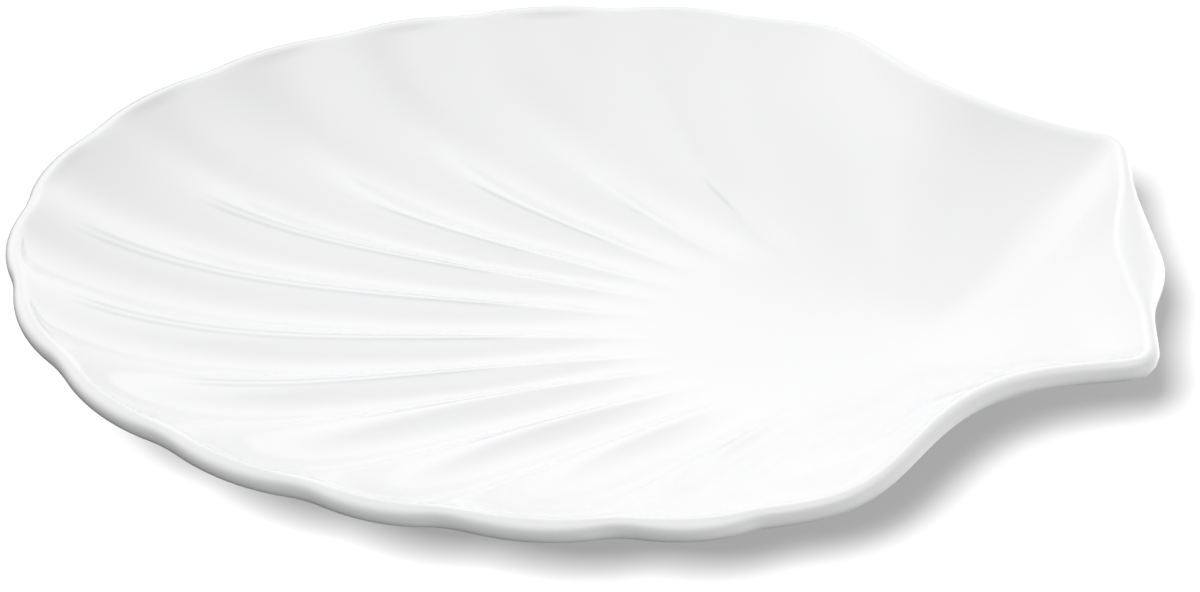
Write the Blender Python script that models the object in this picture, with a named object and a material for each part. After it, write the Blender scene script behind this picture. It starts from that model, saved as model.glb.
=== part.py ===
"""Scallop shell platter, pressed in one piece from white glazed porcelain.

The fan points to -X and the hinge with its two ears to +X. The origin lies on the table, under the
middle of the platter, and every length is in metres.

The dish is worked out in polar form about the hub, the place on the floor where the flutes meet.
A column is one flute line from the hub to the rim, and a row is one ring around the hub.
"""
import math

import bpy
import numpy as np

# Plan outline along the crest of the rim, seen from the middle of the fan
FAN_HALF_LENGTH = 0.1618
FAN_HALF_WIDTH = 0.1210
SHOULDER_DEG = 70.0
SHOULDER_HANDLE = 0.033
NECK_HANDLE = 0.066
EAR_SLOPE_DEG = 12.4
EAR_HALF_WIDTH = 0.0545
EAR_CORNER_RADIUS = 0.008
HINGE_REACH = 0.1464
HINGE_SCOOP = 0.0042
HINGE_SCOOP_HALF_WIDTH = 0.036
HUB_OFFSET = 0.080

# Dish, measured down from the crest of the rim
DISH_DEPTH = 0.0345
RIM_LIFT_FAN = 0.0025
RIM_LIFT_HINGE = 0.0005
NECK_LIFT = 0.0044
NECK_PLACE = 0.0963
NECK_LIFT_HALF_LENGTH = 0.049
WALL_THICKNESS = 0.0052
HUB_SOFTNESS = 0.22
HUB_REACH = 0.120
HUB_SHARE = 0.80
FLOOR_POWER = 0.70
WALL_POWER = 8.0
WALL_POWER_HINGE = 3.0
FLOOR_SHARE_FAN = 0.38
FLOOR_SHARE_SIDE = 0.98
FLOOR_SHARE_HINGE = 0.70
NECK_FROM_DEG = 80.0
NECK_TO_DEG = 130.0
EVEN_ANGLE_DEG = 40.0
EVEN_START = 0.55

# Flutes: the angle of each crest from the fan's axis, near the hub and at the rim
CREST_FLOOR_DEG = (4.1, 11.2, 17.2, 25.5, 35.6, 51.0, 65.0)
CREST_RIM_DEG = (4.2, 13.2, 23.3, 33.8, 43.8, 57.4, 71.5)
CREST_FLARE_POWER = 3.0
FLUTE_DEPTH = 0.0032
FLUTE_DEPTH_AT_RIM = 0.0012
FLUTE_START = 0.22
FLUTE_FULL = 0.52
FLUTE_FADE = 0.64
CREST_ROUNDING = 0.17
CREST_ROUNDING_AT_RIM = 0.55
ROUNDING_FROM = 0.45
ROUNDING_TO = 0.95
LAST_FLUTE_FADE = 0.80
FADE_BEFORE_LAST = 1.3
FADE_PAST_LAST = 0.1
SCALLOP_SECTION = 0.6

# Rim lip, and its scallops: how far each flute bulges past the crests on either side
LIP_INNER = 0.0016
LIP_INNER_DROP = 0.0004
LIP_REACH = 0.0030
LIP_DROP = 0.0030
LIP_LOWER = 0.0040
LIP_TUCK = 0.0035
SCALLOP_FAN = 0.0008
SCALLOP_SIDE = 0.0017
SCALLOP_LOWER = 0.0010
SCALLOP_OUT_SHARE = 0.6

# Umbo, the beak that swells out behind the hinge
UMBO_HALF_WIDTH = 0.0353
UMBO_REACH = 0.0103
UMBO_DROP = 0.0064
UMBO_LOWER = 0.0035

# Foot ring, an oval around the hub and the middle of the fan
FOOT_HALF_LENGTH = 0.080
FOOT_HALF_WIDTH = 0.046
FOOT_CENTRE_FROM_HUB = 0.062
FOOT_WIDTH = 0.0045
FOOT_DRAFT = 0.0010
FOOT_HEIGHT = 0.0028

# Mesh
OUTLINE_STEPS = 240
EVEN_STEPS = 33
FLUTE_SAMPLES = (0.0, 0.07, 0.19, 0.34, 0.5, 0.66, 0.81, 0.93)
HINGE_SAMPLES = 28
DISH_ROWS = (0.05, 0.10, 0.16, 0.23, 0.30, 0.37, 0.44, 0.51, 0.58, 0.65, 0.72, 0.785, 0.845, 0.90,
             0.945, 0.975, 1.0)
LIP_ANGLES_DEG = (25.0, 55.0, 90.0)
UNDERSIDE_ROWS = (0.06, 0.25, 0.50, 0.76)
UNDERSIDE_BLEND = 0.10
UNDERSIDE_TURN = 0.5
BASE_ROWS = (0.66, 0.33)
SLOPE_STEP = 0.01
SMOOTH_ANGLE_DEG = 40.0


def clear_scene():
    """Remove the objects that a new file opens with."""
    for thing in list(bpy.data.objects):
        bpy.data.objects.remove(thing, do_unlink=True)


def smooth_step(start, end, value):
    """Rise from 0 at start to 1 at end, level at both."""
    share = np.clip((value - start) / (end - start), 0.0, 1.0)
    return share * share * (3.0 - 2.0 * share)


def bezier(start, handle_a, handle_b, end):
    """Points on a cubic curve, without its last one."""
    share = np.linspace(0.0, 1.0, OUTLINE_STEPS, endpoint=False)[:, None]
    rest = 1.0 - share
    return (rest ** 3 * start + 3.0 * rest ** 2 * share * handle_a
            + 3.0 * rest * share ** 2 * handle_b + share ** 3 * end)


def half_outline():
    """Crest of the rim from the fan's tip to the middle of the hinge, at y >= 0, about the hub."""
    turn = np.linspace(math.pi, math.radians(SHOULDER_DEG), OUTLINE_STEPS, endpoint=False)
    fan = np.stack([FAN_HALF_LENGTH * np.cos(turn), FAN_HALF_WIDTH * np.sin(turn)], axis=1)

    shoulder = math.radians(SHOULDER_DEG)
    start = np.array([FAN_HALF_LENGTH * math.cos(shoulder), FAN_HALF_WIDTH * math.sin(shoulder)])
    along = np.array([FAN_HALF_LENGTH * math.sin(shoulder), -FAN_HALF_WIDTH * math.cos(shoulder)])
    along /= np.linalg.norm(along)

    slope = math.radians(EAR_SLOPE_DEG)
    corner = np.array([HINGE_REACH - EAR_CORNER_RADIUS, EAR_HALF_WIDTH - EAR_CORNER_RADIUS])
    ear = corner + EAR_CORNER_RADIUS * np.array([math.sin(slope), math.cos(slope)])
    ear_along = np.array([math.cos(slope), -math.sin(slope)])
    neck = bezier(start, start + SHOULDER_HANDLE * along, ear - NECK_HANDLE * ear_along, ear)

    turn = np.linspace(0.5 * math.pi - slope, 0.0, OUTLINE_STEPS, endpoint=False)
    ear_arc = corner + EAR_CORNER_RADIUS * np.stack([np.cos(turn), np.sin(turn)], axis=1)

    across = np.linspace(corner[1], 0.0, OUTLINE_STEPS)
    scoop = HINGE_SCOOP * (1.0 - smooth_step(0.0, HINGE_SCOOP_HALF_WIDTH, across))
    hinge = np.stack([HINGE_REACH - scoop, across], axis=1)
    return np.concatenate([fan, neck, ear_arc, hinge]) - np.array([HUB_OFFSET, 0.0])


class Outline:
    """The rim's crest as a polar curve about the hub, with its outward direction in plan."""

    def __init__(self):
        points = half_outline()
        along = np.gradient(points, axis=0)
        along /= np.linalg.norm(along, axis=1)[:, None]
        self.points = points
        self.outward = np.stack([-along[:, 1], along[:, 0]], axis=1)
        self.outward[0] = (-1.0, 0.0)
        self.outward[-1] = (1.0, 0.0)
        self.angle = np.arctan2(points[:, 1], -points[:, 0])

    def at(self, angle):
        """Rim point and outward direction at signed angles from the fan's axis."""
        side = np.where(angle < 0.0, -1.0, 1.0)
        size = np.abs(angle)
        point = np.stack([np.interp(size, self.angle, self.points[:, 0]),
                          np.interp(size, self.angle, self.points[:, 1]) * side], axis=1)
        outward = np.stack([np.interp(size, self.angle, self.outward[:, 0]),
                            np.interp(size, self.angle, self.outward[:, 1]) * side], axis=1)
        outward /= np.linalg.norm(outward, axis=1)[:, None]
        return point, outward

    def inner_radius(self, angle):
        """Distance from the hub to the foot of the lip's inner round, at signed angles."""
        inner = self.points - LIP_INNER * self.outward
        inner_angle = np.arctan2(inner[:, 1], -inner[:, 0])
        return np.interp(np.abs(angle), inner_angle, np.hypot(inner[:, 0], inner[:, 1]))

    def even_radius(self, angle):
        """The inner radius averaged over some degrees to either side, so that it has no corners."""
        offsets = np.linspace(-1.0, 1.0, EVEN_STEPS)
        weights = 1.0 + np.cos(math.pi * offsets)
        turned = angle[None, :] + math.radians(EVEN_ANGLE_DEG) * offsets[:, None]
        folded = np.abs(np.arctan2(np.sin(turned), np.cos(turned)))
        return np.average(self.inner_radius(folded), axis=0, weights=weights)


def flute_columns():
    """Flute coordinate of each column: 0 on the axis, a half and more at the crests.

    It grows by one from crest to crest, and from the last crest to the hinge it runs over one
    more unit, so the two ends meet at the middle of the hinge.
    """
    last = len(CREST_RIM_DEG) - 0.5
    fluted = [start + share for start in np.arange(-last, last) for share in FLUTE_SAMPLES]
    hinge = last + np.arange(HINGE_SAMPLES) / HINGE_SAMPLES
    return np.concatenate([np.array(fluted), hinge, [last + 1.0], -hinge[:0:-1]])


def column_angles(column, crest_deg):
    """Angle of each column from the fan's axis, through the crests' own angles."""
    count = len(crest_deg)
    known = np.concatenate([[0.0], np.arange(count) + 0.5, [count + 0.5]])
    known_deg = np.concatenate([[0.0], crest_deg, [180.0]])
    return np.sign(column) * np.radians(np.interp(np.abs(column), known, known_deg))


def flute_shape(column, rounding):
    """0 along the middle of a flute and 1 on a crest: a square law with a rounded top."""
    reach = 2.0 * np.abs(column - np.round(column))
    edge = 1.0 - rounding
    past = np.clip(reach - edge, 0.0, None)
    cap = edge ** 2 + 2.0 * edge * (past - past ** 2 / (2.0 * rounding))
    return np.where(reach < edge, reach ** 2, cap) / edge


def flute_depth(share):
    """Depth of the flutes at a share of the way from the hub to the rim."""
    rise = smooth_step(FLUTE_START, FLUTE_FULL, share)
    fade = smooth_step(FLUTE_FADE, 1.0, share)
    return rise * (FLUTE_DEPTH + (FLUTE_DEPTH_AT_RIM - FLUTE_DEPTH) * fade)


def rim_lift(point):
    """The rim stands slightly higher at the fan's tip, the neck and the hinge than at its sides."""
    along = point[:, 0] + HUB_OFFSET
    neck = 1.0 - smooth_step(0.0, NECK_LIFT_HALF_LENGTH, np.abs(along - NECK_PLACE))
    fan = np.clip(-along / FAN_HALF_LENGTH, 0.0, None) ** 2
    hinge = np.clip(along / HINGE_REACH, 0.0, None) ** 2
    return RIM_LIFT_FAN * fan + NECK_LIFT * neck + RIM_LIFT_HINGE * hinge


def foot_radius(angle, inset):
    """Distance from the hub to the foot's oval, moved inwards by inset."""
    length = FOOT_HALF_LENGTH - inset
    width = FOOT_HALF_WIDTH - inset
    along = np.cos(angle) / length
    across = np.sin(angle) / width
    centre = FOOT_CENTRE_FROM_HUB / length
    square = along ** 2 + across ** 2
    middle = along * centre
    return (middle + np.sqrt(middle ** 2 + square * (1.0 - centre ** 2))) / square


class Shell:
    """Rings of points over the whole platter, from the hub's top around the lip to its base."""

    def __init__(self):
        self.outline = Outline()
        self.column = flute_columns()
        self.floor_angle = column_angles(self.column, CREST_FLOOR_DEG)
        self.rim_angle = column_angles(self.column, CREST_RIM_DEG)
        self.last = len(CREST_RIM_DEG) - 0.5
        self.strength = 1.0 - LAST_FLUTE_FADE * smooth_step(
            self.last - FADE_BEFORE_LAST, self.last + FADE_PAST_LAST, np.abs(self.column))
        self.rim, self.outward = self.outline.at(self.rim_angle)
        self.lift = rim_lift(self.rim)
        across = np.sin(self.rim_angle) ** 2
        scallop = SCALLOP_FAN + (SCALLOP_SIDE - SCALLOP_FAN) * across
        wave = SCALLOP_OUT_SHARE - self.relief(SCALLOP_SECTION)
        self.bulge = scallop * wave
        self.lower_bulge = SCALLOP_LOWER * wave
        self.umbo = 1.0 - smooth_step(0.0, UMBO_HALF_WIDTH, np.abs(self.rim[:, 1]))
        self.umbo *= self.rim[:, 0] > 0.0

    def angle(self, share):
        """Angle of each column at a share of the way to the rim, where the crests flare out."""
        flare = share ** CREST_FLARE_POWER
        return self.floor_angle + (self.rim_angle - self.floor_angle) * flare

    def ring(self, radius, angle, height):
        """One ring of points at polar places about the hub."""
        return np.stack([-radius * np.cos(angle), radius * np.sin(angle), height], axis=1)

    def relief(self, share):
        """0 along the middle of a flute and 1 on its crests, which are rounder near the rim."""
        late = smooth_step(ROUNDING_FROM, ROUNDING_TO, share)
        rounding = CREST_ROUNDING + (CREST_ROUNDING_AT_RIM - CREST_ROUNDING) * late
        return np.where(np.abs(self.column) < self.last, flute_shape(self.column, rounding), 1.0)

    def dish_rise(self, share, angle):
        """Rise of the dish from 0 at the hub to 1 at the rim.

        It is a mix of a floor that climbs by a power of the way out and a wall that turns up late.
        Along the fan's axis there is more wall, and at its sides more floor. The hub is round, and
        past the neck the wall turns up sooner.
        """
        round_hub = 1.0 - smooth_step(0.0, HUB_SHARE, share)
        even = self.outline.even_radius(angle)
        evening = 1.0 - smooth_step(EVEN_START, 1.0, share)
        share = share * (self.outline.inner_radius(angle) / even) ** evening
        bowl = share * (1.0 + (even / HUB_REACH - 1.0) * round_hub)
        lowest = HUB_SOFTNESS ** FLOOR_POWER
        floor = (bowl ** 2 + HUB_SOFTNESS ** 2) ** (0.5 * FLOOR_POWER) - lowest
        floor /= (1.0 + HUB_SOFTNESS ** 2) ** (0.5 * FLOOR_POWER) - lowest
        neck = smooth_step(math.radians(NECK_FROM_DEG), math.radians(NECK_TO_DEG), np.abs(angle))
        weight = FLOOR_SHARE_FAN + (FLOOR_SHARE_SIDE - FLOOR_SHARE_FAN) * np.sin(angle) ** 2
        weight += (FLOOR_SHARE_HINGE - weight) * neck
        weight += (FLOOR_SHARE_FAN - weight) * round_hub
        wall_power = WALL_POWER + (WALL_POWER_HINGE - WALL_POWER) * neck
        return weight * floor + (1.0 - weight) * share ** wall_power

    def dish_height(self, share, angle):
        """Height of the dish's upper surface under the crest of the rim's sides."""
        drop = DISH_DEPTH - LIP_INNER_DROP
        rise = self.dish_rise(share, angle)
        height = self.lift * share ** 2 - LIP_INNER_DROP - drop * (1.0 - rise)
        return height - flute_depth(share) * self.strength * (1.0 - self.relief(share))

    def dish_ring(self, share):
        """One ring of the upper surface."""
        angle = self.angle(share)
        radius = share * self.outline.inner_radius(angle) + self.bulge * share ** WALL_POWER
        return self.ring(radius, angle, self.dish_height(share, angle))

    def lip_ring(self, out, height):
        """One ring of the lip, out from the rim's crest and above it."""
        plan = self.rim + self.outward * (self.bulge + out)[:, None]
        return np.column_stack([plan, self.lift + height])

    def lip_rings(self):
        """The lip: its crest, the outer quarter and the lower quarter that tucks under."""
        reach = LIP_REACH + UMBO_REACH * self.umbo
        drop = LIP_DROP + UMBO_DROP * self.umbo
        lower = LIP_LOWER + UMBO_LOWER * self.umbo
        rings = [self.lip_ring(0.0, 0.0)]
        for degrees in LIP_ANGLES_DEG:
            turn = math.radians(degrees)
            out = reach * math.sin(turn) + self.lower_bulge * math.sin(turn) ** 2
            rings.append(self.lip_ring(out, -drop * (1.0 - math.cos(turn))))
        for degrees in LIP_ANGLES_DEG:
            turn = math.radians(degrees)
            out = reach - LIP_TUCK * (1.0 - math.cos(turn)) + self.lower_bulge
            rings.append(self.lip_ring(out, -drop - lower * math.sin(turn)))
        return rings

    def underside_height(self, radius, angle):
        """Height of the lower surface, one wall under the dish, measured square to its slope."""
        reach = self.outline.inner_radius(angle)
        share = np.minimum(radius / reach, 1.0)
        before = np.maximum(share - SLOPE_STEP, 0.0)
        after = np.minimum(share + SLOPE_STEP, 1.0)
        rise = self.dish_height(after, angle) - self.dish_height(before, angle)
        slope = rise / ((after - before) * reach)
        return self.dish_height(share, angle) - WALL_THICKNESS * np.sqrt(1.0 + slope ** 2)

    def underside_rings(self, edge):
        """From the lip's lower edge in to the foot, down it, up inside it and on to the hub."""
        foot_plane = -DISH_DEPTH - WALL_THICKNESS - FOOT_HEIGHT
        foot_share = foot_radius(self.floor_angle, 0.0) / self.outline.inner_radius(self.floor_angle)
        edge_angle = np.sign(self.column) * np.abs(np.arctan2(edge[:, 1], -edge[:, 0]))
        edge_radius = np.hypot(edge[:, 0], edge[:, 1])
        rings = []
        for step in UNDERSIDE_ROWS:
            target = self.angle(1.0 + (foot_share - 1.0) * step)
            angle = edge_angle + (target - edge_angle) * smooth_step(0.0, UNDERSIDE_TURN, step)
            radius = edge_radius + (foot_radius(angle, 0.0) - edge_radius) * step
            height = self.underside_height(radius, angle)
            blend = smooth_step(0.0, UNDERSIDE_BLEND, step)
            rings.append(self.ring(radius, angle, edge[:, 2] + (height - edge[:, 2]) * blend))
        angle = self.angle(foot_share)
        for inset, down in ((0.0, False), (FOOT_DRAFT, True), (FOOT_WIDTH - FOOT_DRAFT, True),
                            (FOOT_WIDTH, False)):
            radius = foot_radius(angle, inset)
            height = self.underside_height(radius, angle)
            rings.append(self.ring(radius, angle, np.where(down, foot_plane, height)))
        for step in BASE_ROWS:
            angle = self.angle(foot_share * step)
            radius = step * foot_radius(angle, FOOT_WIDTH)
            rings.append(self.ring(radius, angle, self.underside_height(radius, angle)))
        return rings

    def surface(self):
        """All rings, with the middle of the floor and of the base as single end points."""
        rings = [self.dish_ring(share) for share in DISH_ROWS]
        rings += self.lip_rings()
        rings += self.underside_rings(rings[-1])
        top = np.array([[0.0, 0.0, -DISH_DEPTH]])
        base = np.array([[0.0, 0.0, -DISH_DEPTH - WALL_THICKNESS]])
        return np.concatenate([top] + rings + [base]), len(rings), len(self.column)


def ring_faces(ring_count, column_count):
    """Quads between the rings, and a fan of triangles at each end, facing outwards."""
    here = np.arange(column_count)
    after = np.roll(here, -1)
    faces = [(0, 1 + a, 1 + b) for a, b in zip(after, here)]
    for ring in range(ring_count - 1):
        low = 1 + ring * column_count
        high = low + column_count
        faces += [(low + a, high + a, high + b, low + b) for a, b in zip(after, here)]
    low = 1 + (ring_count - 1) * column_count
    end = 1 + ring_count * column_count
    faces += [(end, low + b, low + a) for a, b in zip(after, here)]
    return [tuple(int(index) for index in face) for face in faces]


def centred(points):
    """Stand the points on the table, with the origin under the middle of their box."""
    low = points.min(axis=0)
    high = points.max(axis=0)
    middle = 0.5 * (low + high)
    return points - np.array([middle[0], middle[1], low[2]])


def porcelain():
    """White glazed porcelain."""
    material = bpy.data.materials.new("white_glaze")
    material.use_nodes = True
    shader = material.node_tree.nodes["Principled BSDF"]
    shader.inputs["Base Color"].default_value = (0.88, 0.88, 0.875, 1.0)
    shader.inputs["Roughness"].default_value = 0.12
    shader.inputs["Metallic"].default_value = 0.0
    return material


def make_platter():
    """The whole platter as one closed body."""
    points, ring_count, column_count = Shell().surface()
    mesh = bpy.data.meshes.new("shell_platter")
    mesh.from_pydata(centred(points).tolist(), [], ring_faces(ring_count, column_count))
    mesh.update()
    mesh.shade_smooth()
    mesh.set_sharp_from_angle(angle=math.radians(SMOOTH_ANGLE_DEG))
    platter = bpy.data.objects.new("shell_platter", mesh)
    platter.data.materials.append(porcelain())
    bpy.context.collection.objects.link(platter)
    return platter


clear_scene()
make_platter()
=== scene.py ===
"""Shell shaped platter: the finished look of a scallop dish in white glazed porcelain.

The file is laid out as a Blender add-on and is run as a script. The fan points to -X, the hinge
with its two ears to +X, and every length is in metres.
"""
import math

import bpy
import numpy as np
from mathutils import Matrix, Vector


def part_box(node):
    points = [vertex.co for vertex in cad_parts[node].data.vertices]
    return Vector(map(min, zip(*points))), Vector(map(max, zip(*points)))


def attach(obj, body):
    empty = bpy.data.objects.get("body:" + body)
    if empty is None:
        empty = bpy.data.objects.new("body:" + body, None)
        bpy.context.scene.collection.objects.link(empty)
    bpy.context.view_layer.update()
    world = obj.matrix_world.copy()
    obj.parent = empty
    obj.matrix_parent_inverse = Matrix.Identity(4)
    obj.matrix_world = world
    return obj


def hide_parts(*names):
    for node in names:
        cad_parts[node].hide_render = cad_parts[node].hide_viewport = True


bl_info = {
    "name": "Shell Platter",
    "version": (1, 0, 0),
    "blender": (4, 5, 0),
    "location": "View3D > Sidebar > Platter",
    "description": "Builds a scallop shell platter of white porcelain and the table it stands on",
    "category": "Object",
}

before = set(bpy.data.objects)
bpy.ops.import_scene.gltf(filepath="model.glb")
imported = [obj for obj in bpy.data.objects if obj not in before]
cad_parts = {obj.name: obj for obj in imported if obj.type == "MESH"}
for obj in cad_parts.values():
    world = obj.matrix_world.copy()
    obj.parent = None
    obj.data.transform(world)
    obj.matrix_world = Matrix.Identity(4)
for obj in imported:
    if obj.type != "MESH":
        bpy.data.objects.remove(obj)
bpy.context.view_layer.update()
CAD_LOW, CAD_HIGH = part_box("shell_platter")

# Fineness of the surface
OUTLINE_STEPS = 600
FLUTE_STEPS = 24
FLUTE_CLUSTER = 0.62
HINGE_STEPS = 64
DISH_STEPS = 62
LIP_STEPS = 12
UNDERSIDE_STEPS = 18
FOOT_ROUND_STEPS = 4
BASE_STEPS = 10
EVEN_STEPS = 33

# Shares of the way out from the hub
SLOPE_STEP = 0.005
ROUNDING_FROM = 0.45
ROUNDING_TO = 0.95
SCALLOP_SECTION = 0.6
LINE_FADE = 0.06

# Distances from the last crest, in flutes
FADE_BEFORE_LAST = 1.3
FADE_PAST_LAST = 0.1
LINE_PAST_LAST = 0.3

# How many crests next to the axis have a line of painted shade on both sides
TWO_LINE_CRESTS = 2

# Rings between the dish and the lip's crest, as shares of the way
JOIN_SHARES = (0.35, 0.7)

# Turns about the lip's upper round, in radians from its crest: where the painted grey line along
# the edge is darkest, how far it spreads, and where the face's painted shade begins and is whole
EDGE_TURN = 0.2
EDGE_SPREAD = 0.3
FACE_FROM = 0.5
FACE_TO = 1.5

# Shares of the way from the lip in to the foot: how the rings crowd, where their angles have gone
# over to the foot's, and where their heights leave the lip for the lower surface
UNDERSIDE_CROWDING = 1.6
UNDERSIDE_TURNED = 0.5
UNDERSIDE_FROM = -0.02
UNDERSIDE_TO = 0.09

# The foot ring: the share of its draft that is taken halfway down, and the turn about its edge, in
# radians, past which it is bare
FOOT_MIDDLE_DRAFT = 0.45
FOOT_BARE_TURN = 0.9

# Textures, in cells to the metre
GLAZE_CLOUDS = 14.0
GLAZE_GRAIN = 220.0
GLAZE_RIPPLES = 95.0
BARE_GRAIN = 900.0
BARE_WEAR = 60.0
TABLE_CLOUDS = 3.0

# How strongly they show: the share of a colour that is left, the roughness that is added, and the
# height of the bumps in metres
GLAZE_SHADE = 0.985
WEAR_SHADE = 0.86
TABLE_SHADE = 0.99
# Painted shade: how even it is, and the roughness it adds
SHADE_EVENNESS = 0.7
CLOUD_ROUGHNESS = 0.03
SHADE_ROUGHNESS = 0.06
GRAIN_ROUGHNESS = 0.1
BUMP_HEIGHT = 0.0001

# Soft light from all around: height over the horizon and bearing in degrees, how narrow the patch
# is and how strong. The bearing is 0 past the hinge and 90 behind the platter.
SKY_PATCHES = (
    (65.0, 300.0, 6.0, 2.1),
    (40.0, 90.0, 6.0, 1.32),
    (40.0, 180.0, 6.0, 1.62),
    (15.0, 135.0, 8.0, 1.05),
    (-15.0, 45.0, 4.0, 2.1),
    (-25.0, 325.0, 4.0, 1.75),
    (-35.0, 230.0, 4.0, 0.5),
)


def length(name, description, default):
    """A length that a user may change."""
    return bpy.props.FloatProperty(name=name, description=description, default=default,
                                   precision=5, unit="LENGTH")


def share(name, description, default):
    """A plain number that a user may change."""
    return bpy.props.FloatProperty(name=name, description=description, default=default,
                                   precision=3)


def degrees(name, description, default):
    """An angle that a user may change, in degrees."""
    return bpy.props.FloatProperty(name=name, description=description,
                                   default=math.radians(default), subtype="ANGLE")


def colour(name, description, default):
    """A colour that a user may change."""
    return bpy.props.FloatVectorProperty(name=name, description=description, default=default,
                                         size=3, subtype="COLOR", min=0.0, max=1.0)


def crest_angles(name, description, default):
    """The angles of the flute crests on one side, in degrees from the fan's axis."""
    return bpy.props.FloatVectorProperty(name=name, description=description, default=default,
                                         size=len(default))


def crest_shares(name, description, default):
    """One plain number for each flute crest of a side."""
    return bpy.props.FloatVectorProperty(name=name, description=description, default=default,
                                         size=len(default), precision=3)


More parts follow.
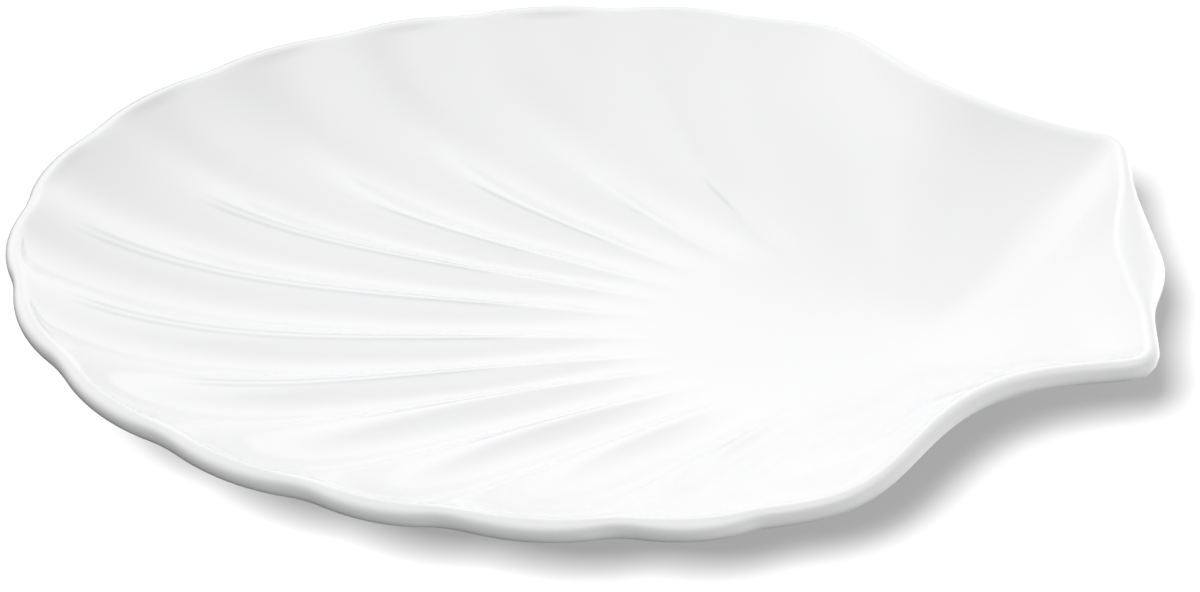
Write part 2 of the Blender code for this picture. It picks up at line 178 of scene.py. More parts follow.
class PlatterForm(bpy.types.PropertyGroup):
    """Sizes of the platter."""
    fan_half_length: length("Fan half length", "From the fan's middle to its tip", 0.1618)
    fan_half_width: length("Fan half width", "From the fan's middle to its side", 0.1210)
    shoulder: degrees("Shoulder", "Where the fan's oval gives way to the neck", 70.0)
    shoulder_handle: length("Shoulder handle", "Roundness of the neck at the shoulder", 0.033)
    neck_handle: length("Neck handle", "Roundness of the neck at the ear", 0.066)
    ear_slope: degrees("Ear slope", "How far the ears' sides close in", 12.4)
    ear_half_width: length("Ear half width", "From the axis to the side of an ear", 0.0545)
    ear_corner: length("Ear corner", "Radius of an ear's corner", 0.008)
    hinge_reach: length("Hinge reach", "From the fan's middle to the hinge", 0.1464)
    hinge_scoop: length("Hinge scoop", "How far the hinge edge is scooped in", 0.0042)
    scoop_half_width: length("Scoop half width", "Half the width of the scoop", 0.036)
    hub_offset: length("Hub offset", "From the fan's middle to where the flutes meet", 0.080)
    dish_depth: length("Dish depth", "From the rim down to the hub", 0.0345)
    wall: length("Wall", "Thickness of the porcelain", 0.0052)
    lift_fan: length("Tip lift", "Rise of the rim at the fan's tip", 0.0025)
    lift_hinge: length("Hinge lift", "Rise of the rim at the hinge", 0.0005)
    lift_neck: length("Neck lift", "Rise of the rim at the neck", 0.0044)
    neck_place: length("Neck place", "From the fan's middle to the highest place of the neck",
                       0.0963)
    neck_spread: length("Neck spread", "Half the length of the neck's rise", 0.049)
    hub_softness: share("Hub softness", "How rounded the floor is at the hub", 0.22)
    floor_power: share("Floor power", "How the floor climbs away from the hub", 0.70)
    wall_power: share("Wall power", "How late the wall turns up", 8.0)
    wall_power_hinge: share("Wall power at the hinge", "The same past the neck", 3.0)
    neck_from: degrees("Neck from", "Where the fan's wall begins to give way to the neck's", 80.0)
    neck_to: degrees("Neck to", "Where the neck's wall is whole", 130.0)
    floor_share_fan: share("Floor share at the tip", "Part of the rise in the floor", 0.38)
    floor_share_side: share("Floor share at the sides", "Part of the rise in the floor", 0.98)
    floor_share_hinge: share("Floor share at the hinge", "Part of the rise in the floor", 0.70)
    even_angle: degrees("Evening angle", "How far to either side the reach is evened out", 40.0)
    even_start: share("Evening start", "Share of the way out where the evening begins to end", 0.55)
    hub_reach: length("Hub reach", "Distance to the rim that the round hub is drawn for", 0.120)
    hub_share: share("Hub share", "Share of the way out where the round hub ends", 0.80)
    crest_floor: crest_angles("Crests at the floor", "Degrees from the fan's axis",
                              (4.1, 11.2, 17.2, 25.5, 35.6, 51.0, 65.0))
    crest_rim: crest_angles("Crests at the rim", "Degrees from the fan's axis",
                            (4.2, 13.2, 23.3, 33.8, 43.8, 57.4, 71.5))
    crest_flare: share("Crest flare", "How late the crests bend outwards", 3.0)
    flute_depth: length("Flute depth", "From a crest down to the middle of a flute", 0.0032)
    flute_depth_rim: length("Flute depth at the rim", "The same at the rim", 0.0015)
    flute_start: share("Flute start", "Share of the way out where the flutes begin", 0.27)
    flute_full: share("Flute full", "Share of the way out where they are full", 0.55)
    flute_fade: share("Flute fade", "Share of the way out where they begin to fade", 0.68)
    crest_rounding: share("Crest rounding", "Share of a flute that its crest's round takes", 0.17)
    crest_rounding_rim: share("Crest rounding at the rim", "The same at the rim", 0.55)
    # The next four place the lines of painted shade beside the crests
    line_place: share("Line place", "From a crest to its line, as a share of a flute", 0.045)
    line_width: share("Line width", "Half the line's width, as a share of a flute", 0.026)
    line_from: crest_shares("Line from", "Share of the way out where each crest's line begins",
                            (0.42, 0.47, 0.45, 0.40, 0.44, 0.42, 0.50))
    line_to: crest_shares("Line to", "Share of the way out where each crest's line ends",
                          (0.97, 0.88, 0.72, 0.68, 0.52, 0.56, 0.50))
    last_fade: share("Last flute fade", "How plain the shoulder is past the last crest", 0.80)
    lip_inner: length("Lip inner round", "Width of the lip's inner round", 0.0016)
    lip_inner_drop: length("Lip inner drop", "Height of the lip's inner round", 0.0004)
    lip_reach: length("Lip reach", "How far the lip rolls outwards", 0.0030)
    lip_drop: length("Lip drop", "Height of the lip's upper round", 0.0030)
    lip_lower: length("Lip lower", "Height of the lip's lower round", 0.0040)
    lip_tuck: length("Lip tuck", "How far the lip tucks back under", 0.0035)
    # The next two paint shade on the lip: darker low on its face, and a grey line along its edge
    lip_shade: share("Lip thin", "How thin the glaze runs low on the lip's face", 0.9)
    edge_shade: share("Edge thin", "How thin the glaze runs along the lip's edge", 0.45)
    scallop_fan: length("Scallop at the tip", "Bulge of a flute at the rim", 0.0008)
    scallop_side: length("Scallop at the sides", "Bulge of a flute at the rim", 0.0017)
    scallop_lower: length("Lower scallop", "Further bulge at the lip's lower edge", 0.0010)
    scallop_out: share("Scallop out share", "Part of a scallop that stands outwards", 0.6)
    umbo_half_width: length("Umbo half width", "Half the width of the beak", 0.0353)
    umbo_reach: length("Umbo reach", "How far the beak swells out", 0.0103)
    umbo_drop: length("Umbo drop", "How far the beak hangs", 0.0064)
    umbo_lower: length("Umbo lower", "Height of the beak's lower round", 0.0035)
    foot_half_length: length("Foot half length", "Half the length of the foot ring", 0.080)
    foot_half_width: length("Foot half width", "Half the width of the foot ring", 0.046)
    foot_centre: length("Foot centre", "From the hub to the foot ring's middle", 0.062)
    foot_width: length("Foot width", "Width of the foot ring's wall", 0.0045)
    foot_draft: length("Foot draft", "Slope of the foot ring's sides", 0.0010)
    foot_height: length("Foot height", "From the base under the hub to the table", 0.0028)
    foot_start: length("Foot start", "Width of the level ring where the foot begins", 0.0004)
    foot_bevel: length("Foot bevel", "Radius of the foot ring's edges", 0.0007)


class PlatterGlaze(bpy.types.PropertyGroup):
    """Colours of the porcelain and of the shade painted on it."""
    glaze: colour("Glaze", "White of the glaze", (0.86, 0.861, 0.869))
    # Colour of the painted shade beside the crests and on the lip's edge and face
    painted_dark: colour("Thin glaze", "Where the glaze runs thin, beside crests and on the lip",
                 (0.70, 0.705, 0.71))
    bare: colour("Bare foot", "Unglazed porcelain of the foot ring", (0.80, 0.785, 0.755))
    roughness: share("Roughness", "Roughness of the glaze", 0.10)
    bare_roughness: share("Bare roughness", "Roughness of the bare foot", 0.75)


class PlatterStage(bpy.types.PropertyGroup):
    """Camera, table and lights."""
    camera_elevation: degrees("Camera elevation", "Height of the view above the table", 35.96)
    camera_distance: length("Camera distance", "From the aim to the camera", 1.3676)
    aim_right: length("Aim right", "Sideways place of the view's middle", 0.0037)
    aim_up: length("Aim up", "Upward place of the view's middle, in the view's own plane", 0.0203)
    focal: bpy.props.FloatProperty(name="Focal length", description="In millimetres",
                                   default=145.83)
    floor: colour("Floor", "Colour of the table", (0.12, 0.12, 0.12))
    floor_glow: share("Floor glow", "Light that comes up through the table", 0.33)
    floor_half_width: length("Floor half width", "Half the side of the table", 3.0)
    lamp_place: bpy.props.FloatVectorProperty(name="Lamp place", default=(-1.5, -5.1, 5.35),
                                              subtype="TRANSLATION",
                                              description="Of the lamp that casts the shadow")
    lamp_size: length("Lamp size", "Side of the lamp's square", 1.5)
    lamp_power: bpy.props.FloatProperty(name="Lamp power", description="In watts", default=4200.0)


def smooth_step(start, end, value):
    """Rise from 0 at start to 1 at end, level at both."""
    part = np.clip((value - start) / (end - start), 0.0, 1.0)
    return part * part * (3.0 - 2.0 * part)


def bezier(start, handle_a, handle_b, end):
    """Points on a cubic curve, without its last one."""
    part = np.linspace(0.0, 1.0, OUTLINE_STEPS, endpoint=False)[:, None]
    rest = 1.0 - part
    return (rest ** 3 * start + 3.0 * rest ** 2 * part * handle_a
            + 3.0 * rest * part ** 2 * handle_b + part ** 3 * end)


def half_outline(form):
    """Crest of the rim from the fan's tip to the middle of the hinge, at y >= 0, about the hub.

    It is an oval's arc, a cubic curve along the neck, the round corner of the ear and a hinge edge
    that is scooped in by a smooth step.
    """
    size = np.array([form.fan_half_length, form.fan_half_width])
    turn = np.linspace(math.pi, form.shoulder, OUTLINE_STEPS, endpoint=False)
    fan = size * np.stack([np.cos(turn), np.sin(turn)], axis=1)
    start = size * np.array([math.cos(form.shoulder), math.sin(form.shoulder)])
    along = size * np.array([math.sin(form.shoulder), -math.cos(form.shoulder)])
    along /= np.linalg.norm(along)

    slope = form.ear_slope
    corner = np.array([form.hinge_reach - form.ear_corner, form.ear_half_width - form.ear_corner])
    ear = corner + form.ear_corner * np.array([math.sin(slope), math.cos(slope)])
    ear_along = np.array([math.cos(slope), -math.sin(slope)])
    neck = bezier(start, start + form.shoulder_handle * along, ear - form.neck_handle * ear_along,
                  ear)

    turn = np.linspace(0.5 * math.pi - slope, 0.0, OUTLINE_STEPS, endpoint=False)
    ear_arc = corner + form.ear_corner * np.stack([np.cos(turn), np.sin(turn)], axis=1)
    across = np.linspace(corner[1], 0.0, OUTLINE_STEPS)
    scoop = form.hinge_scoop * (1.0 - smooth_step(0.0, form.scoop_half_width, across))
    hinge = np.stack([form.hinge_reach - scoop, across], axis=1)
    return np.concatenate([fan, neck, ear_arc, hinge]) - np.array([form.hub_offset, 0.0])


class Outline:
    """The rim's crest as a polar curve about the hub, with its outward direction in plan."""

    def __init__(self, form):
        self.form = form
        points = half_outline(form)
        along = np.gradient(points, axis=0)
        along /= np.linalg.norm(along, axis=1)[:, None]
        self.points = points
        self.outward = np.stack([-along[:, 1], along[:, 0]], axis=1)
        self.outward[0] = (-1.0, 0.0)
        self.outward[-1] = (1.0, 0.0)
        self.angle = np.arctan2(points[:, 1], -points[:, 0])

    def at(self, angle):
        """Rim point and outward direction at signed angles from the fan's axis."""
        side = np.where(angle < 0.0, -1.0, 1.0)
        size = np.abs(angle)
        point = np.stack([np.interp(size, self.angle, self.points[:, 0]),
                          np.interp(size, self.angle, self.points[:, 1]) * side], axis=1)
        outward = np.stack([np.interp(size, self.angle, self.outward[:, 0]),
                            np.interp(size, self.angle, self.outward[:, 1]) * side], axis=1)
        outward /= np.linalg.norm(outward, axis=1)[:, None]
        return point, outward

    def inner_radius(self, angle):
        """Distance from the hub to the foot of the lip's inner round, at signed angles."""
        inner = self.points - self.form.lip_inner * self.outward
        inner_angle = np.arctan2(inner[:, 1], -inner[:, 0])
        return np.interp(np.abs(angle), inner_angle, np.hypot(inner[:, 0], inner[:, 1]))

    def even_radius(self, angle):
        """The inner radius averaged over some degrees to either side, so that it has no corners."""
        offsets = np.linspace(-1.0, 1.0, EVEN_STEPS)
        weights = 1.0 + np.cos(math.pi * offsets)
        turned = angle[None, :] + self.form.even_angle * offsets[:, None]
        folded = np.abs(np.arctan2(np.sin(turned), np.cos(turned)))
        return np.average(self.inner_radius(folded), axis=0, weights=weights)


def flute_columns(count):
    """Flute coordinate of each column: whole in the middle of a flute, and a half at its crests.

    Columns crowd towards the crests. From the last crest to the middle of the hinge it grows by
    one more.
    """
    last = count - 0.5
    step = np.arange(FLUTE_STEPS) / FLUTE_STEPS
    step = step - FLUTE_CLUSTER * np.sin(2.0 * math.pi * step) / (2.0 * math.pi)
    fluted = (np.arange(-last, last)[:, None] + step[None, :]).ravel()
    hinge = last + np.arange(HINGE_STEPS) / HINGE_STEPS
    return np.concatenate([fluted, hinge, [last + 1.0], -hinge[:0:-1]])


def column_angles(column, crest_deg):
    """Angle of each column from the fan's axis, through the crests' own angles."""
    count = len(crest_deg)
    known = np.concatenate([[0.0], np.arange(count) + 0.5, [count + 0.5]])
    known_deg = np.concatenate([[0.0], crest_deg, [180.0]])
    return np.sign(column) * np.radians(np.interp(np.abs(column), known, known_deg))


def flute_shape(column, rounding):
    """0 along the middle of a flute and 1 on a crest: a square law with a rounded top."""
    reach = 2.0 * np.abs(column - np.round(column))
    edge = 1.0 - rounding
    past = np.clip(reach - edge, 0.0, None)
    cap = edge ** 2 + 2.0 * edge * (past - past ** 2 / (2.0 * rounding))
    return np.where(reach < edge, reach ** 2, cap) / edge


class PlatterSurface:
    """The whole skin as rings around the hub, from the floor over the lip to the base."""

    def __init__(self, form):
        self.form = form
        self.outline = Outline(form)
        crest_floor = np.array(form.crest_floor)
        crest_rim = np.array(form.crest_rim)
        self.column = flute_columns(len(crest_rim))
        self.last = len(crest_rim) - 0.5
        size = np.abs(self.column)
        plain = smooth_step(self.last - FADE_BEFORE_LAST, self.last + FADE_PAST_LAST, size)
        self.strength = 1.0 - form.last_fade * plain
        self.floor_angle = column_angles(self.column, crest_floor)
        self.rim_angle = column_angles(self.column, crest_rim)
        self.rim, self.outward = self.outline.at(self.rim_angle)
        self.lift = self.rim_lift()
        across = np.sin(self.rim_angle) ** 2
        scallop = form.scallop_fan + (form.scallop_side - form.scallop_fan) * across
        wave = form.scallop_out - self.relief(SCALLOP_SECTION)
        self.bulge = scallop * wave
        self.lower_bulge = form.scallop_lower * wave
        self.umbo = 1.0 - smooth_step(0.0, form.umbo_half_width, np.abs(self.rim[:, 1]))
        self.umbo *= self.rim[:, 0] > 0.0
        self.rings = []
        self.marks = []

    def relief(self, part):
        """0 along the middle of a flute and 1 on its crests, which are rounder near the rim."""
        form = self.form
        late = smooth_step(ROUNDING_FROM, ROUNDING_TO, part)
        rounding = form.crest_rounding + (form.crest_rounding_rim - form.crest_rounding) * late
        return np.where(np.abs(self.column) < self.last, flute_shape(self.column, rounding), 1.0)

    def rim_lift(self):
        """The rim stands slightly higher at the fan's tip, the neck and the hinge."""
        form = self.form
        along = self.rim[:, 0] + form.hub_offset
        neck = 1.0 - smooth_step(0.0, form.neck_spread, np.abs(along - form.neck_place))
        fan = np.clip(-along / form.fan_half_length, 0.0, None) ** 2
        hinge = np.clip(along / form.hinge_reach, 0.0, None) ** 2
        return form.lift_fan * fan + form.lift_neck * neck + form.lift_hinge * hinge

    def angle(self, part):
        """Angle of each column at a share of the way to the rim, where the crests flare out."""
        flare = part ** self.form.crest_flare
        return self.floor_angle + (self.rim_angle - self.floor_angle) * flare

    def dish_rise(self, part, angle):
        """Rise of the dish from 0 at the hub to 1 at the rim.

        It is a mix of a floor that climbs by a power of the way out and a wall that turns up late.
        Along the fan's axis there is more wall, and at its sides more floor.
        """
        form = self.form
        soft = form.hub_softness
        round_hub = 1.0 - smooth_step(0.0, form.hub_share, part)
        even = self.outline.even_radius(angle)
        evening = 1.0 - smooth_step(form.even_start, 1.0, part)
        part = part * (self.outline.inner_radius(angle) / even) ** evening
        bowl = part * (1.0 + (even / form.hub_reach - 1.0) * round_hub)
        half_power = 0.5 * form.floor_power
        lowest = soft ** form.floor_power
        floor = (bowl ** 2 + soft ** 2) ** half_power - lowest
        floor /= (1.0 + soft ** 2) ** half_power - lowest
        across = np.sin(angle) ** 2
        neck = smooth_step(form.neck_from, form.neck_to, np.abs(angle))
        weight = form.floor_share_fan + (form.floor_share_side - form.floor_share_fan) * across
        weight += (form.floor_share_hinge - weight) * neck
        weight += (form.floor_share_fan - weight) * round_hub
        wall_power = form.wall_power + (form.wall_power_hinge - form.wall_power) * neck
        return weight * floor + (1.0 - weight) * part ** wall_power

    def flute_depth(self, part):
        """Depth of the flutes at a share of the way from the hub to the rim."""
        form = self.form
        rise = smooth_step(form.flute_start, form.flute_full, part)
        fade = smooth_step(form.flute_fade, 1.0, part)
        return rise * (form.flute_depth + (form.flute_depth_rim - form.flute_depth) * fade)

    def dish_height(self, part, angle):
        """Height of the dish's upper surface, the rim's sides being 0."""
        form = self.form
        drop = form.dish_depth - form.lip_inner_drop
        rise = self.dish_rise(part, angle)
        height = self.lift * part ** 2 - form.lip_inner_drop - drop * (1.0 - rise)
        return height - self.flute_depth(part) * self.strength * (1.0 - self.relief(part))

    def add(self, points, painted_dark, bare=0.0):
        """Keep one ring, with its share of painted shade and of bare porcelain."""
        ones = np.ones(len(points))
        self.rings.append(points)
        self.marks.append(np.stack([painted_dark * ones, bare * ones]))

    def polar(self, radius, angle, height):
        """One ring of points at polar places about the hub."""
        return np.stack([-radius * np.cos(angle), radius * np.sin(angle), height], axis=1)

    def crest_shade_line(self, part):
        """A fine line of painted shade beside each crest, over the middle stretch of its way out.

        Across the crest it is a bell curve about the line's place, which is on the axis's side.
        The crests next to the axis have a second line on their other side.
        """
        form = self.form
        size = np.abs(self.column)
        crest = np.minimum(size.astype(int), len(form.line_from) - 1)
        off = size - crest - 0.5
        line = np.exp(-((off + form.line_place) / form.line_width) ** 2)
        second = np.exp(-((off - form.line_place) / form.line_width) ** 2)
        line += (crest < TWO_LINE_CRESTS) * second
        start = np.array(form.line_from)[crest]
        end = np.array(form.line_to)[crest]
        rise = smooth_step(start, start + LINE_FADE, part)
        fall = smooth_step(end - LINE_FADE, end, part)
        shown = (end > start) & (size < self.last + LINE_PAST_LAST)
        return line * self.strength * rise * (1.0 - fall) * shown

    def add_dish(self):
        """The upper surface, with rings that crowd towards the rim."""
        for step in np.arange(1, DISH_STEPS + 1) / DISH_STEPS:
            part = 0.5 * math.sin(0.5 * math.pi * step) + 0.5 * step
            angle = self.angle(part)
            reach = self.outline.inner_radius(angle)
            radius = part * reach + self.bulge * part ** self.form.wall_power
            points = self.polar(radius, angle, self.dish_height(part, angle))
            # Painted shade lines beside the crests
            self.add(points, self.crest_shade_line(part))

    def lip_ring(self, out, height):
        """One ring of the lip, out from the rim's crest and above it."""
        plan = self.rim + self.outward * (self.bulge + out)[:, None]
        return np.column_stack([plan, self.lift + height])

    def add_lip(self):
        """The lip: an outer quarter and a lower quarter of ovals, which swell at the umbo."""
        form = self.form
        reach = form.lip_reach + form.umbo_reach * self.umbo
        drop = form.lip_drop + form.umbo_drop * self.umbo
        lower = form.lip_lower + form.umbo_lower * self.umbo
        turns = 0.5 * math.pi * np.arange(LIP_STEPS + 1) / LIP_STEPS
        inner = self.rings[-1]
        crest = self.lip_ring(0.0, 0.0)
        for part in JOIN_SHARES:
            blend = inner + (crest - inner) * part
            blend[:, 2] = inner[:, 2] + (crest[:, 2] - inner[:, 2]) * math.sin(0.5 * math.pi * part)
            self.add(blend, 0.0)
        # Painted shade: a grey line along the edge, and darker low on the face except at the umbo
        painted_dark = form.lip_shade * (1.0 - self.umbo)
        for turn in turns:
            out = reach * math.sin(turn) + self.lower_bulge * math.sin(turn) ** 2
            edge = form.edge_shade * math.exp(-((turn - EDGE_TURN) / EDGE_SPREAD) ** 2)
            face = painted_dark * smooth_step(FACE_FROM, FACE_TO, turn)
            self.add(self.lip_ring(out, -drop * (1.0 - math.cos(turn))), face + edge)
        for turn in turns[1:]:
            out = reach - form.lip_tuck * (1.0 - math.cos(turn)) + self.lower_bulge
            self.add(self.lip_ring(out, -drop - lower * math.sin(turn)), painted_dark)

    def underside_height(self, radius, angle):
        """Height of the lower surface, one wall under the dish, measured square to its slope."""
        reach = self.outline.inner_radius(angle)
        part = np.minimum(radius / reach, 1.0)
        before = np.maximum(part - SLOPE_STEP, 0.0)
        after = np.minimum(part + SLOPE_STEP, 1.0)
        rise = self.dish_height(after, angle) - self.dish_height(before, angle)
        slope = rise / ((after - before) * reach)
        return self.dish_height(part, angle) - self.form.wall * np.sqrt(1.0 + slope ** 2)

    def foot_radius(self, angle, inset):
        """Distance from the hub to the foot's oval, moved inwards by inset."""
        form = self.form
        size_x = form.foot_half_length - inset
        size_y = form.foot_half_width - inset
        along = np.cos(angle) / size_x
        across = np.sin(angle) / size_y
        centre = form.foot_centre / size_x
        square = along ** 2 + across ** 2
        middle = along * centre
        return (middle + np.sqrt(middle ** 2 + square * (1.0 - centre ** 2))) / square

    def add_underside(self):
        """From the lip's lower edge in to the foot."""
        edge = self.rings[-1]
        floor_reach = self.outline.inner_radius(self.floor_angle)
        self.foot_share = self.foot_radius(self.floor_angle, 0.0) / floor_reach
        edge_angle = np.sign(self.column) * np.abs(np.arctan2(edge[:, 1], -edge[:, 0]))
        edge_radius = np.hypot(edge[:, 0], edge[:, 1])
        for step in (np.arange(1, UNDERSIDE_STEPS) / UNDERSIDE_STEPS) ** UNDERSIDE_CROWDING:
            target = self.angle(1.0 + (self.foot_share - 1.0) * step)
            turned = smooth_step(0.0, UNDERSIDE_TURNED, step)
            angle = edge_angle + (target - edge_angle) * turned
            radius = edge_radius + (self.foot_radius(angle, 0.0) - edge_radius) * step
            height = self.underside_height(radius, angle)
            blend = smooth_step(UNDERSIDE_FROM, UNDERSIDE_TO, step)
            self.add(self.polar(radius, angle, edge[:, 2] + (height - edge[:, 2]) * blend), 0.0)

    def add_foot(self):
        """Down the outside of the foot ring, across its bare edge and up its inside.

        Each ring has its inset, its share of the way down from the base to the table, its rise
        above that place and its share of bare porcelain.
        """
        form = self.form
        table = -form.dish_depth - form.wall - form.foot_height
        angle = self.angle(self.foot_share)
        path = [(0.0, 0.0, 0.0, 0.0), (form.foot_start, 0.0, 0.0, 0.0),
                (FOOT_MIDDLE_DRAFT * form.foot_draft, 0.5, 0.0, 0.0)]
        for turn in 0.5 * math.pi * np.arange(FOOT_ROUND_STEPS + 1) / FOOT_ROUND_STEPS:
            inset = form.foot_draft + form.foot_bevel * (1.0 - math.cos(turn))
            path.append((inset, 1.0, form.foot_bevel * (1.0 - math.sin(turn)),
                         float(turn > FOOT_BARE_TURN)))
        path += [(form.foot_width - inset, down, rise, bare)
                 for inset, down, rise, bare in reversed(path)]
        for inset, down, rise, bare in path:
            radius = self.foot_radius(angle, inset)
            base = self.underside_height(radius, angle)
            self.add(self.polar(radius, angle, base + (table - base) * down + rise), 0.0, bare)

    def add_base(self):
        """The base inside the foot ring, in to the hub."""
        for step in np.arange(BASE_STEPS - 1, 0, -1) / BASE_STEPS:
            angle = self.angle(self.foot_share * step)
            radius = step * self.foot_radius(angle, self.form.foot_width)
            self.add(self.polar(radius, angle, self.underside_height(radius, angle)), 0.0)

    def build(self):
        """All points with the two end points, their marks, and the size of the grid."""
        self.add_dish()
        self.add_lip()
        self.add_underside()
        self.add_foot()
        self.add_base()
        form = self.form
        top = np.array([[0.0, 0.0, -form.dish_depth]])
        base = np.array([[0.0, 0.0, -form.dish_depth - form.wall]])
        points = np.concatenate([top] + self.rings + [base])
        marks = np.concatenate([np.zeros((2, 1))] + self.marks + [np.zeros((2, 1))], axis=1)
        return points, marks, len(self.rings), len(self.column)


def ring_faces(ring_count, column_count):
    """Quads between the rings, and a fan of triangles at each end, facing outwards."""
    here = np.arange(column_count)
    after = np.roll(here, -1)
    low = 1 + column_count * np.arange(ring_count - 1)[:, None]
    high = low + column_count
    quads = np.stack([low + after, high + after, high + here, low + here], axis=2).reshape(-1, 4)
    last = 1 + (ring_count - 1) * column_count
    end = 1 + ring_count * column_count
    top = np.stack([0 * here, 1 + after, 1 + here], axis=1)
    base = np.stack([0 * here + end, last + here, last + after], axis=1)
    return top.tolist() + quads.tolist() + base.tolist()


def set_on_table(points):
    """Stand the points on the table, under the middle of the CAD box."""
    low = points.min(axis=0)
    high = points.max(axis=0)
    middle = 0.5 * (low + high)
    place = 0.5 * (np.array(CAD_LOW) + np.array(CAD_HIGH))
    return points + np.array([place[0] - middle[0], place[1] - middle[1], CAD_LOW[2] - low[2]])


class Socket:
    """A node's output, with arithmetic that adds Math nodes."""

    def __init__(self, graph, output):
        self.graph = graph
        self.output = output

    def math(self, operation, other):
        """One Math node on this value and another."""
        return self.graph.node("ShaderNodeMath", {"operation": operation}, {0: self, 1: other})

    def __add__(self, other):
        return self.math("ADD", other)

    __radd__ = __add__

    def __mul__(self, other):
        return self.math("MULTIPLY", other)

    __rmul__ = __mul__

    def __pow__(self, other):
        return self.math("POWER", other)


class Graph:
    """The node tree of a material or a world, emptied and ready for new nodes."""

    def __init__(self, owner):
        owner.use_nodes = True
        self.tree = owner.node_tree
        self.tree.nodes.clear()

    def node(self, kind, settings=None, sockets=None, output=0):
        """Any node: its settings first, then the values or links of its sockets."""
        node = self.tree.nodes.new(kind)
        for name, value in (settings or {}).items():
            setattr(node, name, value)
        for key, value in (sockets or {}).items():
            if isinstance(value, Socket):
                self.tree.links.new(value.output, node.inputs[key])
            else:
                node.inputs[key].default_value = value
        return Socket(self, node.outputs[output]) if node.outputs else None

    def noise(self, place, scale, detail=2.0):
        """Smooth noise from 0 to 1, with scale cells to the metre."""
        return self.node("ShaderNodeTexNoise", {}, {"Vector": place, "Scale": scale,
                                                    "Detail": detail})

    def shaded(self, factor, values, share_left):
        """A colour that the factor turns to a darker share of itself."""
        dark = [share_left * value for value in values]
        return self.mix(factor, rgba(values), rgba(dark))

    def bump(self, height, strength):
        """A normal that a height texture moves."""
        return self.node("ShaderNodeBump", {}, {"Strength": strength, "Distance": BUMP_HEIGHT,
                                                "Height": height})

    def mix(self, factor, low, high):
        """Blend of two colours."""
        return self.node("ShaderNodeMix", {"data_type": "RGBA"}, {0: factor, 6: low, 7: high},
                         output=2)

    def finish(self, shader):
        """Send the shader to the surface."""
        self.node("ShaderNodeOutputMaterial", {}, {"Surface": shader})


def rgba(values):
    """A colour with full opacity."""
    return (*values, 1.0)


def glaze_material(look):
    """Clear glaze over white porcelain, faintly tinted and rippled.

    Shade is painted on it in dark lines beside the crests and along the lip.
    """
    material = bpy.data.materials.new("white_glaze")
    graph = Graph(material)
    place = graph.node("ShaderNodeTexCoord", output=3)
    # Where shade is painted, and how much
    painted_dark = graph.node("ShaderNodeAttribute", {"attribute_name": "painted_shade"}, output=2)
    cloud = graph.noise(place, GLAZE_CLOUDS)
    grain = graph.noise(place, GLAZE_GRAIN)
    ripple = graph.noise(place, GLAZE_RIPPLES, 1.0)
    dark = rgba([GLAZE_SHADE * value for value in look.glaze])
    tint = graph.mix(cloud, dark, rgba(look.glaze))
    shade_amount = painted_dark * (SHADE_EVENNESS + (1.0 - SHADE_EVENNESS) * grain)
    shader = graph.node("ShaderNodeBsdfPrincipled", {}, {
        "Base Color": graph.mix(shade_amount, tint, rgba(look.painted_dark)),
        "Roughness": look.roughness + CLOUD_ROUGHNESS * cloud + SHADE_ROUGHNESS * painted_dark,
        "Normal": graph.bump(ripple, 0.1), "IOR": 1.5, "Coat Weight": 0.25,
        "Coat Roughness": 0.03})
    graph.finish(shader)
    return material


def bare_material(look):
    """Unglazed porcelain of the foot ring: matt, warm, with fine grain and faint grey wear."""
    material = bpy.data.materials.new("bare_foot")
    graph = Graph(material)
    place = graph.node("ShaderNodeTexCoord", output=3)
    grain = graph.noise(place, BARE_GRAIN, 4.0)
    wear = graph.noise(place, BARE_WEAR, 3.0)
    shader = graph.node("ShaderNodeBsdfPrincipled", {}, {
        "Base Color": graph.shaded(wear, look.bare, WEAR_SHADE),
        "Roughness": look.bare_roughness + GRAIN_ROUGHNESS * grain,
        "Normal": graph.bump(grain, 0.4)})
    graph.finish(shader)
    return material


def floor_material(stage):
    """Plain tabletop, very faintly uneven, that glows like a light table."""
    material = bpy.data.materials.new("pale_table")
    graph = Graph(material)
    place = graph.node("ShaderNodeTexCoord", output=3)
    cloud = graph.noise(place, TABLE_CLOUDS)
    shader = graph.node("ShaderNodeBsdfPrincipled", {}, {
        "Base Color": graph.shaded(cloud, stage.floor, TABLE_SHADE),
        "Roughness": 0.9, "Specular IOR Level": 0.1,
        "Emission Color": rgba((1.0, 1.0, 1.0)), "Emission Strength": stage.floor_glow})
    graph.finish(shader)
    return material


def make_object(name, points, faces):
    """A new mesh object at the origin."""
    mesh = bpy.data.meshes.new(name)
    mesh.from_pydata(points.tolist(), [], faces)
    mesh.update()
    mesh.shade_smooth()
    thing = bpy.data.objects.new(name, mesh)
    bpy.context.scene.collection.objects.link(thing)
    return thing


class PLATTER_OT_porcelain(bpy.types.Operator):
    """Build the porcelain platter in place of its plain solid"""
    bl_idname = "platter.porcelain"
    bl_label = "Porcelain platter"

    def execute(self, context):
        scene = context.scene
        points, marks, ring_count, column_count = PlatterSurface(scene.platter_form).build()
        platter = make_object("porcelain_platter", set_on_table(points),
                              ring_faces(ring_count, column_count))
        mesh = platter.data
        # How much shade is painted at each point
        painted_dark = mesh.attributes.new("painted_shade", "FLOAT", "POINT")
        painted_dark.data.foreach_set("value", marks[0].astype(np.float32))
        mesh.materials.append(glaze_material(scene.platter_glaze))
        mesh.materials.append(bare_material(scene.platter_glaze))
        bare_ring = marks[1][1:-1].reshape(ring_count, column_count).min(axis=1) > 0.5
        bare_band = bare_ring[:-1] & bare_ring[1:]
        slots = np.zeros(len(mesh.polygons), np.int32)
        slots[column_count:-column_count] = np.repeat(bare_band, column_count)
        mesh.polygons.foreach_set("material_index", slots)
        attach(platter, "root")
        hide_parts("shell_platter")
        return {"FINISHED"}


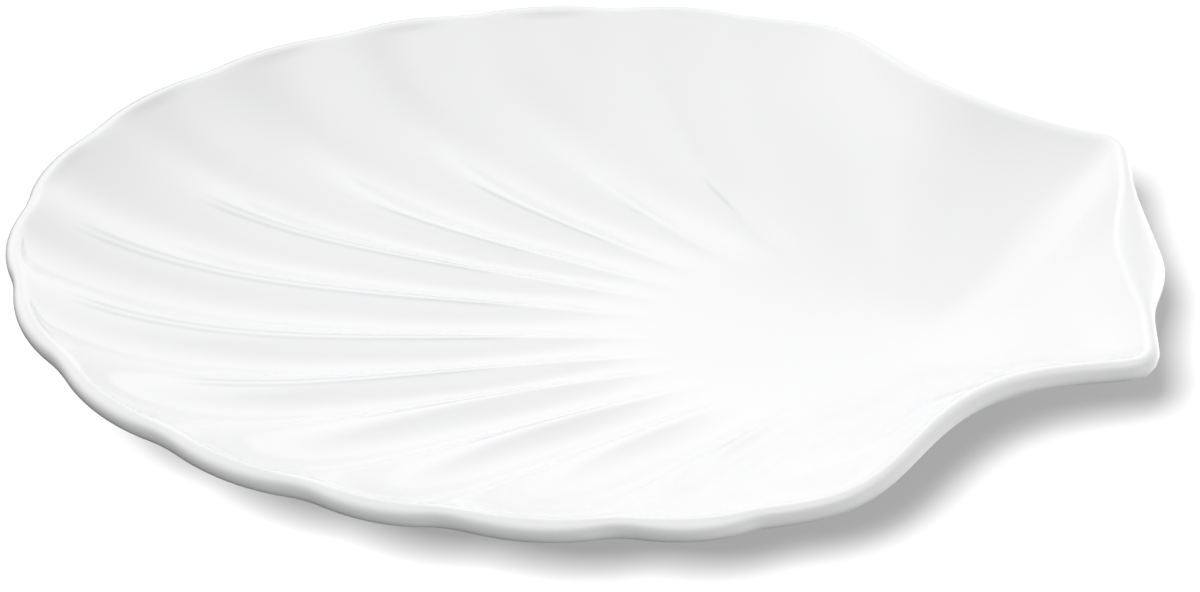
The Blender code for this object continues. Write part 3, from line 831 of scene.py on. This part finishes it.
def add_light(name, place, size, power):
    """A square soft light that faces the origin."""
    lamp = bpy.data.lights.new(name, "AREA")
    lamp.shape = "SQUARE"
    lamp.size = size
    lamp.energy = power
    thing = bpy.data.objects.new(name, lamp)
    bpy.context.scene.collection.objects.link(thing)
    thing.location = place
    thing.rotation_euler = (-Vector(place)).to_track_quat("-Z", "Y").to_euler()
    return thing


def light_only(lamp, receivers):
    """Let a light reach the receivers alone."""
    chosen = bpy.data.collections.new(lamp.name + "_lit")
    for thing in receivers:
        chosen.objects.link(thing)
    lamp.light_linking.receiver_collection = chosen


def make_world():
    """Light from all sides: each patch of sky falls off by a power of the cosine to its middle."""
    world = bpy.data.worlds.new("studio_air")
    bpy.context.scene.world = world
    graph = Graph(world)
    direction = graph.node("ShaderNodeTexCoord")
    light = 0.0
    for height, bearing, narrowness, strength in SKY_PATCHES:
        up = math.radians(height)
        turn = math.radians(bearing)
        middle = (math.cos(up) * math.cos(turn), math.cos(up) * math.sin(turn), math.sin(up))
        facing = graph.node("ShaderNodeVectorMath", {"operation": "DOT_PRODUCT"},
                            {0: direction, 1: middle}, output=1)
        light = light + strength * facing.math("MAXIMUM", 0.0) ** narrowness
    background = graph.node("ShaderNodeBackground", {}, {"Color": light})
    graph.node("ShaderNodeOutputWorld", {}, {"Surface": background})


class PLATTER_OT_stage(bpy.types.Operator):
    """Set up the camera, the table and the lights"""
    bl_idname = "platter.stage"
    bl_label = "Table, lights and camera"

    def execute(self, context):
        stage = context.scene.platter_stage
        elevation = stage.camera_elevation
        up = Vector((0.0, math.sin(elevation), math.cos(elevation)))
        back = Vector((0.0, -math.cos(elevation), math.sin(elevation)))
        camera_data = bpy.data.cameras.new("photo_view")
        camera_data.sensor_width = 36.0
        camera_data.lens = stage.focal
        camera_data.clip_start = 0.01
        camera = bpy.data.objects.new("photo_view", camera_data)
        camera.location = (Vector((stage.aim_right, 0.0, 0.0)) + stage.aim_up * up
                           + stage.camera_distance * back)
        camera.rotation_euler = (0.5 * math.pi - elevation, 0.0, 0.0)
        context.scene.collection.objects.link(camera)
        context.scene.camera = camera

        half = stage.floor_half_width
        corners = np.array([(-half, -half, 0.0), (half, -half, 0.0), (half, half, 0.0),
                            (-half, half, 0.0)])
        floor = make_object("pale_table", corners, [(0, 1, 2, 3)])
        floor.data.materials.append(floor_material(stage))
        floor.visible_diffuse = False
        floor.visible_glossy = False

        table_light = add_light("table_light", stage.lamp_place, stage.lamp_size,
                                stage.lamp_power)
        light_only(table_light, [floor])
        make_world()
        context.scene.view_settings.view_transform = "Standard"
        return {"FINISHED"}


class PLATTER_PT_panel(bpy.types.Panel):
    """Lists the steps that build the platter"""
    bl_idname = "PLATTER_PT_panel"
    bl_label = "Shell platter"
    bl_space_type = "VIEW_3D"
    bl_region_type = "UI"
    bl_category = "Platter"

    def draw(self, context):
        for operator in OPERATORS:
            self.layout.operator(operator.bl_idname)


OPERATORS = (PLATTER_OT_porcelain, PLATTER_OT_stage)
SETTINGS = {"platter_form": PlatterForm, "platter_glaze": PlatterGlaze,
            "platter_stage": PlatterStage}


def register():
    """Add the settings, the operators and the panel."""
    for name, group in SETTINGS.items():
        bpy.utils.register_class(group)
        setattr(bpy.types.Scene, name, bpy.props.PointerProperty(type=group))
    for operator in OPERATORS:
        bpy.utils.register_class(operator)
    bpy.utils.register_class(PLATTER_PT_panel)


def unregister():
    """Remove them again."""
    bpy.utils.unregister_class(PLATTER_PT_panel)
    for operator in reversed(OPERATORS):
        bpy.utils.unregister_class(operator)
    for name, group in SETTINGS.items():
        delattr(bpy.types.Scene, name)
        bpy.utils.unregister_class(group)


def main():
    """Build the platter and its stage."""
    register()
    bpy.ops.platter.porcelain()
    bpy.ops.platter.stage()


if __name__ == "__main__":
    main()
